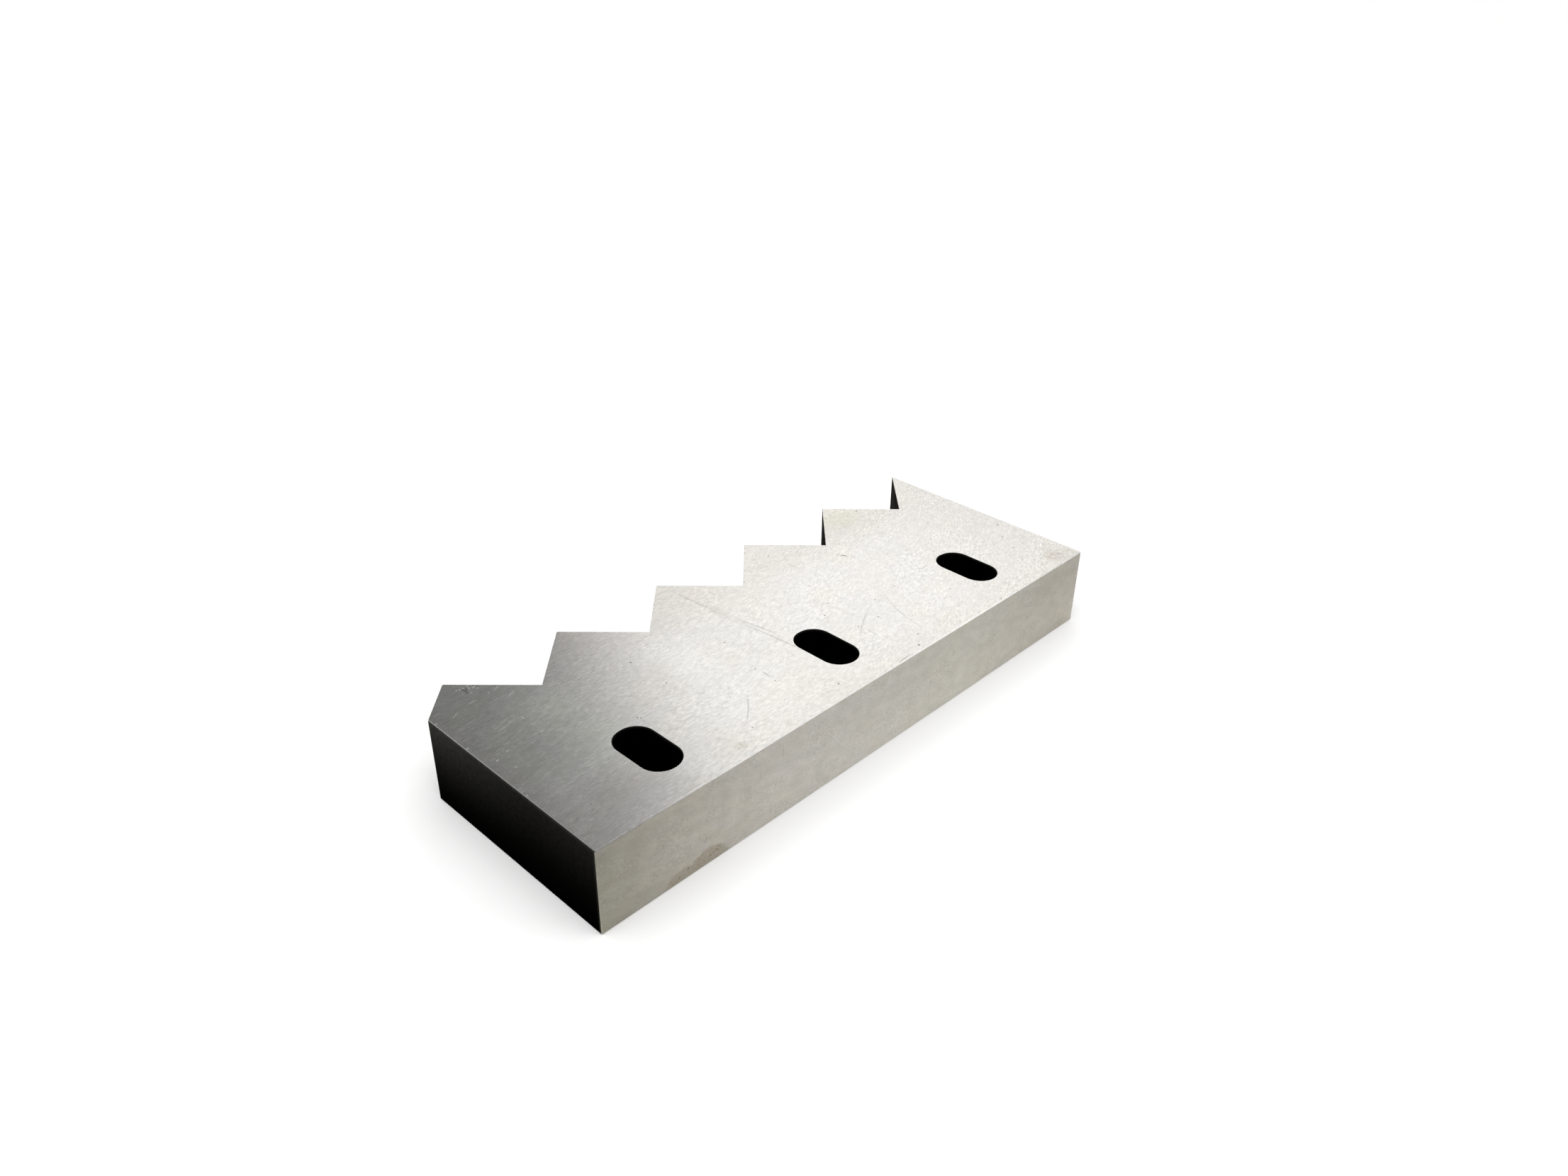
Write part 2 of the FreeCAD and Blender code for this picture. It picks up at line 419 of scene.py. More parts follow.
flat_face = abs(face_z).rise(*LEVEL)
top_face = face_z.rise(*LEVEL)
wall_face = abs(face_z).fall(*UPRIGHT)
back_face = wall_face * face_y.fall(*TO_THE_BACK) * across.fall(*BACK_EDGE)
slot_band = across.rise(*SLOTS_BEGIN) * across.fall(*SLOTS_END)
in_slot = slot_band * along.rise(*PAST_PLAIN_END) * along.fall(*BEFORE_BUTT_END)
print("nodes so far:", len(blade_steel.node_tree.nodes))

# %% [markdown]
# ## Grinding marks
#
# The top was ground and then rubbed down, which leaves short broken dashes a few millimetres
# long, light and dark. An image of scratches would repeat and blur, so stretched noise makes
# them: its coordinates are turned and squeezed, and each blob becomes a thin dash. Every layer is
# cut from the noise at a height of its own, so no two layers look alike.

# %% Streaks
STREAK_DEPTH = 5.0


def centred_noise(place, detail):
    """Noise that goes as far below nothing as above it, from -0.5 to 0.5."""
    noise = steel.node("ShaderNodeTexNoise", {}, {"Vector": place, "Scale": 1.0, "Detail": detail})
    return noise - 0.5


def streaks(turn, length, width, slice_height, detail=2.0):
    """Dashes of one length and width in millimetres, leaning by a turn in degrees."""
    laid = steel.node("ShaderNodeMapping", {"vector_type": "TEXTURE"},
                      {"Vector": spot, "Location": (0.0, 0.0, slice_height),
                       "Rotation": (0.0, 0.0, math.radians(turn)),
                       "Scale": (length, width, STREAK_DEPTH)})
    return centred_noise(laid, detail)


print("streaks are cut", STREAK_DEPTH, "mm deep")

# %% [markdown]
# ## Layers of rubbing
#
# The dashes lean more towards the far end, so two layers with different turns are mixed along the
# blade. Longer rubs lie under them, and patches of several centimetres make some places livelier
# than others. They are mostly a change of colour, because the real ones show as clearly in the
# bright area as in the grey one. Only a trace goes into the relief.

# %% Layers on the top
# Each call: turn in degrees, then length, width and slice height in millimetres, then the detail.
DASH_STEP = (0.05, 0.17)

near_grain = streaks(0.0, 2.6, 0.9, 100.0, 2.2)
far_grain = streaks(27.0, 2.2, 0.95, 300.0, 3.0)
grain = near_grain * (1.0 - to_far_end) + far_grain * to_far_end
near_rub = streaks(8.0, 11.0, 2.4, 500.0)
far_rub = streaks(25.0, 9.0, 2.4, 700.0)
long_rub = near_rub * (1.0 - to_far_end) + far_rub * to_far_end
clouds = streaks(15.0, 34.0, 18.0, 900.0, 3.0)
blotch = streaks(14.0, 4.2, 2.6, 1100.0)
patches = streaks(25.0, 26.0, 17.0, 1900.0, 2.0)
dashes = grain.rise(*DASH_STEP)
node_kinds = [node.type for node in blade_steel.node_tree.nodes]
print("noises in the steel so far:", node_kinds.count("TEX_NOISE"))

# %% [markdown]
# ## Single marks
#
# Grinding marks are even, but handling leaves single marks, and those make a surface look used.
# An oval is the place in millimetres, moved to the oval's middle and divided by its half sizes,
# so that its rim lies at a distance of one. Pits, stains and worn patches are all soft ovals.

# %% Ovals
OVAL_HEIGHT = 20.0


def oval(centre, halves, strength=1.0, firm=0.0):
    """A soft oval in millimetres, full inside its firm share and gone at its rim."""
    scale = [1.0 / half for half in halves]
    shift = [-place / half for place, half in zip(centre, halves)]
    return spot.moved(scale, shift).length().rise(firm, 1.0, strength, 0.0)


def oval_on_top(x, y, half_long, half_wide, strength=1.0, firm=0.0):
    """A soft oval on the top face, so tall that height doesn't count there."""
    return oval((x, y, TOP), (half_long, half_wide, OVAL_HEIGHT), strength, firm)


print("an oval adds 3 nodes")

# %% [markdown]
# ## Scratches
#
# A scratch is a very thin oval that lies in its own direction. How far a point is along it and
# beside it are two dot products, both divided so that they reach one at its ends and sides. A
# curved scratch is the same after its sideways place was bent by a parabola. In the bright area a
# mark is dark, because it is rough and scatters the light away. In the grey end it is light,
# because it scatters some of the light towards the camera.

# %% Scratches
def scratch(start, end, width, strength, sag=0.0):
    """A scratch on the top between two points, thin at its ends and bowed sideways by its sag."""
    run = Vector((*end, 0.0)) - Vector((*start, 0.0))
    middle = Vector((*start, 0.0)) + run / 2.0
    ahead = run.normalized() * (2.0 / run.length)
    aside = Vector((-run.y, run.x, 0.0)).normalized() * (2.0 / width)
    lengthways = spot.reach_along(ahead) - ahead.dot(middle)
    sideways = spot.reach_along(aside) - aside.dot(middle)
    squared = lengthways * lengthways
    if sag:
        sideways = sideways - (1.0 - squared) * (2.0 * sag / width)
    return (squared + sideways * sideways).rise(0.0, 1.0, strength, 0.0)


def most_of(marks):
    """Many marks laid over each other, each as strong as it is alone."""
    strongest = marks[0]
    for mark in marks[1:]:
        strongest = strongest.most(mark)
    return strongest


print("a scratch adds 8 nodes, and 3 more when it is bowed")

# %% [markdown]
# ## Where the marks are
#
# Marks with no order to them can't be worked out, so they are listed, as somebody with a rule
# would write them down: first the dark scratches, nearly all in the bright area. A list is easy
# to add to, and the finish is built from it in one loop.

# %% Dark scratches
# Each line: start, end, width, strength and sag, in millimetres along and across.
DARK_SCRATCHES = [
    ((131.2, 121.0), (135.4, 70.0), 0.9, 0.42, -0.3),
    ((134.7, 76.0), (139.6, 28.0), 0.9, 0.50, 0.2),
    ((135.5, 76.5), (140.7, 49.5), 0.8, 0.60, 0.3),
    ((133.4, 104.0), (136.6, 52.0), 6.5, 0.10, 0.0),
    ((100.8, 30.4), (83.4, 13.6), 0.8, 0.40, 0.9),
    ((99.0, 29.0), (92.0, 20.4), 0.8, 0.25, 0.3),
    ((203.0, 46.4), (189.2, 6.0), 0.9, 0.36, -3.5),
    ((157.6, 20.2), (192.6, 41.6), 0.9, 0.34, 1.6),
    ((187.0, 73.6), (217.0, 94.6), 0.8, 0.22, 0.0),
    ((187.9, 93.4), (189.0, 84.8), 0.7, 0.60, 0.0),
    ((115.4, 36.6), (114.8, 30.6), 0.7, 0.60, 0.0),
    ((170.8, 29.4), (170.4, 18.4), 0.7, 0.45, 0.0),
    ((212.6, 80.6), (214.6, 76.6), 1.1, 1.60, 0.0),
    ((228.2, 45.5), (232.4, 43.9), 0.9, 0.70, 0.0),
    ((231.4, 44.0), (235.4, 44.3), 0.9, 0.60, 0.0),
    ((208.7, 45.0), (208.1, 41.4), 0.7, 0.55, 0.0),
    ((231.1, 30.4), (230.1, 26.6), 0.7, 0.50, 0.0),
    ((143.8, 99.2), (143.7, 94.4), 0.7, 0.40, 0.0),
    ((159.0, 0.6), (170.0, 1.5), 0.8, 0.80, 0.0),
    ((250.3, 4.4), (249.0, 2.0), 0.7, 0.60, 0.0),
    ((233.0, 0.2), (235.5, 2.0), 0.7, 0.80, 0.0),
    ((62.4, 77.4), (66.2, 75.0), 0.8, 0.40, 0.0),
    ((237.6, 60.9), (241.4, 61.1), 1.6, 0.35, 0.0),
]
print("dark scratches:", len(DARK_SCRATCHES))

# %% [markdown]
# ## Pits
#
# Pits are where grit was pressed into the steel or where rust began. They could be dented into
# the mesh, but they are half a millimetre wide, so they are small ovals of dark colour, spread a
# little past their rims. Pits and scratches make one mask together, in which each place takes its
# strongest mark. So two marks that cross aren't darker than either.

# %% Dark pits
# Each line: along, across and radius.
DARK_PITS = [
    (10.5, 84.8, 0.5), (14.2, 20.2, 0.4), (32.8, 6.0, 0.35), (58.4, 47.8, 0.5),
    (59.2, 46.6, 0.4), (81.1, 79.3, 0.6), (81.8, 57.7, 0.45), (85.7, 12.0, 0.45),
    (114.5, 39.5, 0.45), (114.4, 27.8, 0.45), (119.2, 62.8, 0.5), (131.1, 8.1, 0.6),
    (144.2, 106.8, 0.7), (174.5, 53.8, 0.5), (166.2, 47.8, 0.5), (169.9, 31.3, 0.45),
    (182.4, 30.5, 0.5), (192.8, 41.2, 0.45), (177.2, 3.3, 0.8), (183.8, 9.2, 0.5),
    (187.4, 104.1, 0.5), (215.8, 75.4, 0.5), (225.1, 23.1, 0.5), (231.2, 55.1, 0.5),
    (248.0, 50.6, 0.45), (294.0, 45.6, 0.7), (284.5, 36.0, 0.6), (279.5, 25.6, 0.5),
    (206.6, 100.8, 0.8), (254.2, 106.0, 0.7),
]
PIT_SPREAD = 1.15
PIT_STRENGTH = 1.8

scratch_marks = [scratch(*mark) for mark in DARK_SCRATCHES]
pit_marks = [oval_on_top(x, y, radius * PIT_SPREAD, radius * PIT_SPREAD, PIT_STRENGTH)
             for x, y, radius in DARK_PITS]
dark_marks = most_of(scratch_marks + pit_marks)
print("dark pits:", len(DARK_PITS))

# %% [markdown]
# ## Bright nicks
#
# The plain end stands in its own dim reflection, so every fresh nick in it shows bright. Their
# colour is painted lighter as well, partly as fresh steel and partly as a painted highlight. They
# are short, and most of them run roughly along the blade, the way it is slid into its seat.

# %% Nicks in the plain end
# Each line: start, end, width, strength and sag, in millimetres along and across.
BRIGHT_NICKS = [
    ((16.4, 101.3), (21.2, 101.5), 0.7, 0.55, 0.0),
    ((6.4, 97.1), (12.4, 100.2), 0.6, 0.50, 0.0),
    ((2.0, 103.0), (6.8, 105.0), 0.6, 0.35, 0.0),
    ((30.8, 94.5), (35.6, 96.6), 0.7, 0.40, 0.0),
    ((29.0, 102.2), (33.6, 103.8), 0.7, 0.45, 0.0),
    ((26.4, 102.3), (28.2, 102.5), 0.8, 0.50, 0.0),
    ((59.0, 97.1), (62.6, 98.0), 0.6, 0.50, 0.0),
    ((0.6, 76.8), (1.5, 78.0), 0.8, 0.90, 0.0),
    ((4.2, 63.3), (5.6, 64.1), 0.9, 0.90, 0.0),
    ((9.6, 65.8), (12.2, 66.0), 0.7, 0.60, 0.0),
    ((7.0, 56.3), (8.0, 55.3), 0.7, 0.80, 0.0),
    ((26.8, 80.4), (27.2, 77.4), 0.6, 0.50, 0.0),
    ((12.4, 76.9), (26.4, 80.8), 0.6, 0.35, 0.4),
    ((10.0, 78.6), (27.0, 84.2), 0.6, 0.25, 0.0),
    ((0.2, 98.6), (1.8, 99.0), 0.7, 0.70, 0.0),
    ((0.2, 39.6), (1.6, 39.8), 0.6, 0.60, 0.0),
]
nicks_with_painted_highlights = most_of([scratch(*mark) for mark in BRIGHT_NICKS])
print("bright nicks:", len(BRIGHT_NICKS))

# %% [markdown]
# ## A bruise near the first tooth
#
# Near the point of the first tooth something hard hit the blade and left a small cluster of
# dents. Dark ovals of painted shade stand for their hollows, and bright ovals of painted
# highlight round them for glints on the pushed-up metal. Both are ovals with no order, and a
# fine noise roughens the hollows. The glints join the bright nicks, and the same noise goes into
# the relief.

# %% Bruise
# Each line: along, across and radius.
BRUISE_DENTS = [
    (20.9, 111.3, 0.8), (21.2, 110.0, 1.0), (22.3, 110.9, 0.8), (21.0, 108.3, 0.8),
    (26.5, 109.0, 0.6),
]
BRUISE_GLINTS = [
    (21.4, 111.9, 0.8), (23.2, 110.6, 0.9), (22.8, 109.6, 0.7), (23.7, 112.1, 0.8),
    (20.1, 112.2, 0.7), (18.7, 112.5, 0.7), (25.0, 109.8, 0.9), (25.8, 108.2, 0.7),
    (19.6, 109.3, 0.5), (22.3, 107.3, 0.6),
]
# How wide a dent's painted shade and a glint are for their length, and how much each shows.
DENT_SHAPE = 1.2
GLINT_SHAPE = 0.8
GLINT_STRENGTH = 0.9
DENT_SHADE_GRAIN = 1.2

bruise_grain = streaks(55.0, 1.1, 0.7, 1300.0)
bruise_place = oval_on_top(22.6, 110.2, 4.4, 3.2, 1.0, 0.3)
dents = [oval_on_top(21.9, 110.2, 1.8, 1.8, 0.45)]
dents += [oval_on_top(x, y, radius, radius * DENT_SHAPE) for x, y, radius in BRUISE_DENTS]
glints = [oval_on_top(23.6, 110.8, 3.4, 2.4, 0.05)]
glints += [oval_on_top(x, y, radius, radius * GLINT_SHAPE) for x, y, radius in BRUISE_GLINTS]
# The dents' dark colour is painted shade, and the glints' light colour is painted highlight.
bruise_painted_shade = most_of(dents) * (1.0 + bruise_grain * DENT_SHADE_GRAIN)
bruise_painted_glints = most_of(glints) * (1.0 - bruise_painted_shade) * GLINT_STRENGTH
nicks_with_painted_highlights = nicks_with_painted_highlights.most(bruise_painted_glints) * top_face
print("dents and crumbs in the bruise:", len(dents) + len(glints))

# %% [markdown]
# ## Worn cutting edges
#
# The cutting edges are nibbled by fine chips. How far a point is from a cutting edge follows from
# the teeth: the distance to the nearest tooth point is a zigzag along the blade, which one
# Ping-Pong node draws, and the notches are cut at 45 degrees. Noise keeps a chip here and there
# and drops the rest.

# %% Chips
# The pitch and each step in millimetres, but for the step on the noise.
TOOTH_PITCH = 56.57
CHIP_WIDTH = (0.15, 0.65)
CHIPS_KEPT = (0.13, 0.20)
TEETH_BEGIN = (80.0, 90.0)
CHIP_STRENGTH = 0.8

to_point = steel.math("PINGPONG", LENGTH - along, TOOTH_PITCH / 2.0)
from_edge = (WIDTH - to_point - across) * math.sqrt(0.5)
chip_grain = streaks(45.0, 2.6, 1.8, 1500.0, 1.0)
chips = from_edge.fall(*CHIP_WIDTH) * chip_grain.rise(*CHIPS_KEPT) * across.rise(*TEETH_BEGIN)
dark_marks = dark_marks.most(chips * CHIP_STRENGTH) * top_face
print("teeth every", TOOTH_PITCH, "mm")

# %% [markdown]
# ## How light the top is
#
# All the layers add up to one factor round one: dashes and grain where the place is lively, a
# little of the long rubs and the clouds, worn places that are brighter, and a thin film of oil on
# the plain end and along the far teeth that is darker.

# %% Light and dark on the top
# How much each layer adds. Each patch: along, across, half its length and width, strength.
TOP_LEVEL = 0.985
DASH_SHARE = 0.05
BLOTCH_SHARE = 0.22
RUB_SHARE = 0.16
CLOUD_SHARE = 0.08
GRAIN_AT_PLAIN_END = 0.28
GRAIN_FURTHER_ON = 0.66
END_OIL = 0.09

liveliness = 0.75 + clouds.rise(-0.15, 0.15) * 0.5
grain_share = along.rise(5.0, 80.0, GRAIN_AT_PLAIN_END, GRAIN_FURTHER_ON)
fine_light = (dashes * DASH_SHARE + grain * grain_share + blotch * BLOTCH_SHARE) * liveliness
top_light = TOP_LEVEL + fine_light + long_rub * RUB_SHARE + clouds * CLOUD_SHARE
worn_bright = oval_on_top(36.0, 80.0, 24.0, 24.0, 0.15) + oval_on_top(98.0, 68.0, 22.0, 34.0, 0.10)
worn_bright = worn_bright + oval_on_top(98.0, 26.0, 46.0, 50.0, 0.06)
oil_film = oval_on_top(29.0, 2.0, 30.0, 40.0, 0.16, 0.45)
oil_film = oil_film + oval_on_top(225.0, 96.0, 62.0, 24.0, 0.05)
oil_film = oil_film + along.rise(0.0, 14.0, END_OIL, 0.0)
top_light = top_light * (1.0 + worn_bright - oil_film)
print("nodes so far:", len(blade_steel.node_tree.nodes))

# %% [markdown]
# ## The colour of the top
#
# Bare steel is a nearly neutral grey. This blade is a little greener at its plain end, and
# yellower near its teeth, along its straight edge and towards the far end, where oil dried on it.
# Each cast is one colour laid over the plain one through a mask, so each can be changed alone.

# %% Top colour
PLAIN_STEEL = (0.742, 0.728, 0.702, 1.0)
GREENISH_STEEL = (0.736, 0.750, 0.706, 1.0)
OILED_STEEL = (0.695, 0.665, 0.620, 1.0)
FAR_STEEL = (0.650, 0.630, 0.595, 1.0)
TOOTH_OIL = (0.64, 0.62, 0.52, 1.0)
WARMEST = 0.30

plain = steel.node("ShaderNodeRGB")
plain.socket.default_value = PLAIN_STEEL
green_cast = along.fall(30.0, 70.0) * along.rise(0.0, 18.0, 0.4, 1.0) * across.rise(15.0, 50.0)
oiled = (across.rise(72.0, 106.0) + across.rise(0.0, 26.0, 0.6, 0.0)) * along.rise(35.0, 130.0)
oiled = oiled * (0.8 + clouds * 1.2)
top_colour = plain.tinted(GREENISH_STEEL, green_cast * (0.8 + patches * 2.0))
top_colour = top_colour.warmed(patches.rise(-0.06, 0.12) * WARMEST)
top_colour = top_colour.tinted(OILED_STEEL, oiled)
top_colour = top_colour.tinted(FAR_STEEL, along.rise(200.0, 320.0))
top_colour = top_colour.tinted(TOOTH_OIL, oval_on_top(241.0, 106.0, 19.0, 13.0, 0.7, 0.2))
top_colour = top_colour.dimmed(top_light)
node_kinds = [node.type for node in blade_steel.node_tree.nodes]
print("colours laid over the plain one:", node_kinds.count("MIX"))

# %% [markdown]
# ## Rust, oil spots and marks
#
# Three small stains come next: rusty specks at the far corner of the straight edge and two drops
# of old oil. One noise breaks all of them up. The marks that were listed above go on last,
# because they cut through everything under them.

# %% Stains and marks on the top
RUST = (0.46, 0.41, 0.34, 1.0)
OLD_OIL = (0.48, 0.46, 0.38, 1.0)
SCRATCH_BROWN = (0.34, 0.32, 0.28, 1.0)
# Fresh steel lightened further as a painted highlight, for the nicks and the bruise's painted
# glints.
FRESH_STEEL_AND_HIGHLIGHT = (0.92, 0.92, 0.91, 1.0)
DENT_PAINTED_SHADE = (0.24, 0.24, 0.22, 1.0)
SCRATCH_COVER = 0.7
NICK_COVER = 0.8
DENT_SHADE_COVER = 0.9

rust_speckle = streaks(60.0, 2.2, 1.2, 1700.0).rise(-0.06, 0.12)
rust_heart = oval_on_top(287.0, 7.0, 9.0, 7.5, 1.0, 0.1)
rust_corner = rust_heart.most(oval_on_top(292.0, 6.0, 17.0, 12.0, 0.45))
near_drop = oval_on_top(74.5, 6.6, 4.5, 3.5, 1.0, 0.2)
oil_drops = near_drop.most(oval_on_top(287.2, 78.7, 3.0, 2.2, 0.7))
top_colour = top_colour.tinted(RUST, rust_corner * (0.22 + rust_speckle * 0.75))
top_colour = top_colour.tinted(OLD_OIL, oil_drops * (0.2 + rust_speckle * 0.4))
top_colour = top_colour.tinted(SCRATCH_BROWN, dark_marks * SCRATCH_COVER)
top_colour = top_colour.tinted(FRESH_STEEL_AND_HIGHLIGHT, nicks_with_painted_highlights * NICK_COVER)
top_colour = top_colour.tinted(DENT_PAINTED_SHADE, bruise_painted_shade * DENT_SHADE_COVER)
print("nodes so far:", len(blade_steel.node_tree.nodes))

# %% [markdown]
# ## The straight back face
#
# The long back face was ground too, but it is duller and warmer than the top, and mottled. The
# mottling is stretched noise again. It slopes a little, as the wheel went over it, and it comes
# in flecks of a millimetre, clouds of half a centimetre, and patches where the flecks are
# stronger or the steel is warmer.

# %% Flecks
FLECK_SLOPE = math.radians(11.0)
FLECK_DEPTH = 50.0


def flecks(long_side, tall_side, slice_place, detail=3.0):
    """Mottling on a standing face that slopes down along the blade."""
    laid = steel.node("ShaderNodeMapping", {"vector_type": "TEXTURE"},
                      {"Vector": spot, "Location": (0.0, slice_place, 0.0),
                       "Rotation": (0.0, FLECK_SLOPE, 0.0),
                       "Scale": (long_side, FLECK_DEPTH, tall_side)})
    return centred_noise(laid, detail)


small_flecks = flecks(1.5, 0.75, 100.0, 2.0)
wide_flecks = flecks(7.0, 4.0, 900.0)
fleck_patches = flecks(24.0, 12.0, 2300.0, 1.0).rise(-0.06, 0.10)
warm_patches = flecks(16.0, 9.0, 3100.0).rise(-0.06, 0.08)
node_kinds = [node.type for node in blade_steel.node_tree.nodes]
print("noises in the steel so far:", node_kinds.count("TEX_NOISE"))

# %% [markdown]
# ## The back face's colour
#
# This face is darker towards the plain end and the far end. A colour ramp along the blade gives
# that slow change, because a ramp can hold as many tones as it needs. The mottling goes over it
# as a factor round one, and the warm patches as a yellower version of the same colour. The foot
# of the face mirrors the floor where the blade itself shades it, so its colour is painted lighter
# there than along its top edge, as painted light against that shadow, and past 90 mm a painted
# sheen lightens the foot a little more.

# %% Back face colour
# Each stop: a place from the plain end to the far end, and the steel's colour there.
BACK_TONES = [
    (0.0, (0.318, 0.305, 0.257)), (0.05, (0.372, 0.354, 0.307)), (0.14, (0.465, 0.442, 0.396)),
    (0.30, (0.560, 0.535, 0.491)), (0.42, (0.560, 0.540, 0.497)), (0.70, (0.555, 0.535, 0.480)),
    (0.97, (0.445, 0.418, 0.367)),
]
PAINTED_LIGHT_AT_FOOT = 0.985
PAINTED_LIGHT_AT_TOP = 0.785
PAINTED_FOOT_SHEEN = 0.08
BACK_WARMEST = 0.35

back_tone = steel.node("ShaderNodeValToRGB", {"stops": BACK_TONES}, {0: to_far_end})
# A painted sheen along the foot, and below it painted light that grows towards the foot.
painted_foot_sheen = up.fall(2.0, 18.0) * along.rise(90.0, 150.0) * PAINTED_FOOT_SHEEN
back_mottle_and_painted_light = 1.0 + small_flecks * (0.25 + fleck_patches * 0.40) + wide_flecks * 0.38 + painted_foot_sheen
back_mottle_and_painted_light = back_mottle_and_painted_light * up.rise(0.0, 36.0, PAINTED_LIGHT_AT_FOOT, PAINTED_LIGHT_AT_TOP)
back_colour = back_tone.dimmed(back_mottle_and_painted_light).warmed(warm_patches * BACK_WARMEST)
print("tones along the back face:", len(BACK_TONES))

# %% [markdown]
# ## A stain at the foot
#
# Something brown dried along the foot of the back face near the plain end, in two lobes, with a
# clear rim where the drop ended. Two ovals are laid over each other, noise is added to push their
# rim in and out, and a steep step makes the rim firm. Near the far end the face is smoked a
# little.

# %% Stain and smoke
STAIN_BROWN = (0.315, 0.278, 0.210, 1.0)
SMOKE_BROWN = (0.33, 0.305, 0.26, 1.0)
LEFT_LOBE = 38.0
RIGHT_LOBE = 51.0
LOBE_REACH = 13.0
MARK_DEPTH = 9.0
STAIN_RIM = (0.30, 0.62)
SMOKE_COVER = 0.55

stain_edge = flecks(3.4, 2.2, 1700.0) * 1.1
stain_left = oval((LEFT_LOBE, 0.0, -0.5), (LOBE_REACH, MARK_DEPTH, 9.0), 1.0, 0.35)
stain_right = oval((RIGHT_LOBE, 0.0, 0.0), (LOBE_REACH, MARK_DEPTH, 10.2), 1.0, 0.50)
stain = (stain_left.most(stain_right) + stain_edge).rise(*STAIN_RIM) * back_face
stain_depth = 0.60 + small_flecks * 2.2 + wide_flecks * 1.0
back_colour = back_colour.tinted(STAIN_BROWN, stain * stain_depth)
smoke = oval((271.0, 0.0, 30.0), (25.0, MARK_DEPTH, 10.0)) * back_face
back_colour = back_colour.tinted(SMOKE_BROWN, smoke * SMOKE_COVER)
print("stain from", LEFT_LOBE - LOBE_REACH, "to", RIGHT_LOBE + LOBE_REACH, "mm along")

# %% [markdown]
# ## Marks on the back face
#
# There are upright scratches on this face, and specks in the stain and near it. A tall thin oval
# is an upright scratch and a small one is a speck, so one list and one loop make them all.

# %% Marks on the back face
# Each line: along, up, half width, half height and strength of a dark mark.
BACK_MARKS = [
    (83.7, 6.5, 0.35, 6.5, 0.30), (90.7, 31.5, 0.35, 7.5, 0.25), (49.9, 13.0, 0.35, 3.5, 0.35),
    (78.2, 26.5, 0.35, 3.0, 0.30), (70.0, 22.5, 0.30, 3.0, 0.25), (183.3, 15.5, 0.35, 12.5, 0.30),
    (170.0, 3.5, 0.35, 3.0, 0.30), (40.8, 4.3, 0.9, 0.7, 0.95), (36.2, 2.4, 0.7, 0.6, 0.95),
    (55.3, 4.3, 0.8, 0.6, 0.95), (51.6, 3.5, 0.6, 0.6, 0.85), (35.5, 18.6, 0.6, 0.5, 0.60),
    (37.6, 16.4, 0.5, 0.4, 0.50), (16.8, 29.5, 0.5, 0.4, 0.40), (110.8, 5.6, 0.5, 0.4, 0.60),
    (112.4, 3.4, 0.6, 0.4, 0.60), (86.3, 12.4, 0.4, 0.4, 0.50),
]
BACK_MARK_BROWN = (0.16, 0.145, 0.115, 1.0)

back_marks = most_of([oval((x, 0.0, z), (half_width, MARK_DEPTH, half_height), strength)
                      for x, z, half_width, half_height, strength in BACK_MARKS])
back_colour = back_colour.tinted(BACK_MARK_BROWN, back_marks)
print("marks on the back face:", len(BACK_MARKS))

# %% [markdown]
# ## Edge flats
#
# The narrow flats that break the edges are the brightest steel on the blade where they turn up to
# the light. They are found by their slant: neither flat nor upright. Their colour carries painted
# shade and painted light: it is painted darker beside the grey end, or they would draw a white
# line that the real blade doesn't have, and lighter again towards the far end. The flats on the
# plain end and the lower part of the flats near it get painted shade too, and the flats at the
# seat stay dull all along.

# %% Steel with its edge flats
END_FLAT_PAINTED_DIM = (0.50, 0.50, 0.485, 1.0)
SEAT_FLAT_BROWN = (0.44, 0.42, 0.37, 1.0)
POINTS_OUT = (-0.6, -0.5)
LOWER_PART_PAINTED_SHADE = 0.30
FLAT_GRAIN = 0.6

edge_flat = (1.0 - flat_face - wall_face) * face_z.rise(0.0, 0.1)
end_flat = face_x.fall(*POINTS_OUT)
lower_part = face_y.fall(*POINTS_OUT) * up.fall(TOP - 0.34, TOP - 0.18) * along.fall(30.0, 80.0)
# Painted shade beside the grey end and painted light towards the far end, with the grain on top.
flat_grain_and_painted_light = along.rise(5.0, 70.0, 0.42, 0.94) + along.rise(120.0, 220.0, 0.0, 0.24)
flat_grain_and_painted_light = flat_grain_and_painted_light * (1.0 - lower_part * LOWER_PART_PAINTED_SHADE) * (1.0 + grain * FLAT_GRAIN)
flat_colour = plain.dimmed(flat_grain_and_painted_light)
seat_flat = face_z.fall(-0.15, -0.10) * (1.0 - flat_face)
steel_colour = top_colour.tinted(back_colour, back_face)
steel_colour = steel_colour.tinted(flat_colour, edge_flat)
steel_colour = steel_colour.tinted(END_FLAT_PAINTED_DIM, edge_flat * end_flat)
steel_colour = steel_colour.tinted(SEAT_FLAT_BROWN, seat_flat)
print("nodes so far:", len(blade_steel.node_tree.nodes))

# %% [markdown]
# ## Bright steel
#
# The metal is fully metallic, so its colour tints what it mirrors. Its roughness decides how soft
# the mirror image of the window is: low on the top, higher on the back face, and higher in every
# scratch and nick. The relief is tiny, a thousandth of a millimetre or so, and only bends the
# reflections.

# %% Ground steel
# The roughness of the top, what each mark and face adds to it, and the relief in metres.
TOP_ROUGHNESS = 0.27
DASH_ROUGHNESS = 0.01
RUB_ROUGHNESS = 0.04
NICK_ROUGHNESS = 0.30
SCRATCH_ROUGHNESS = 0.15
BACK_ROUGHNESS = 0.20
END_FLAT_ROUGHNESS = 0.22
RELIEF_DEPTH = 0.0000015
RUB_HEIGHT = 0.5
BRUISE_HEIGHT = 12.0

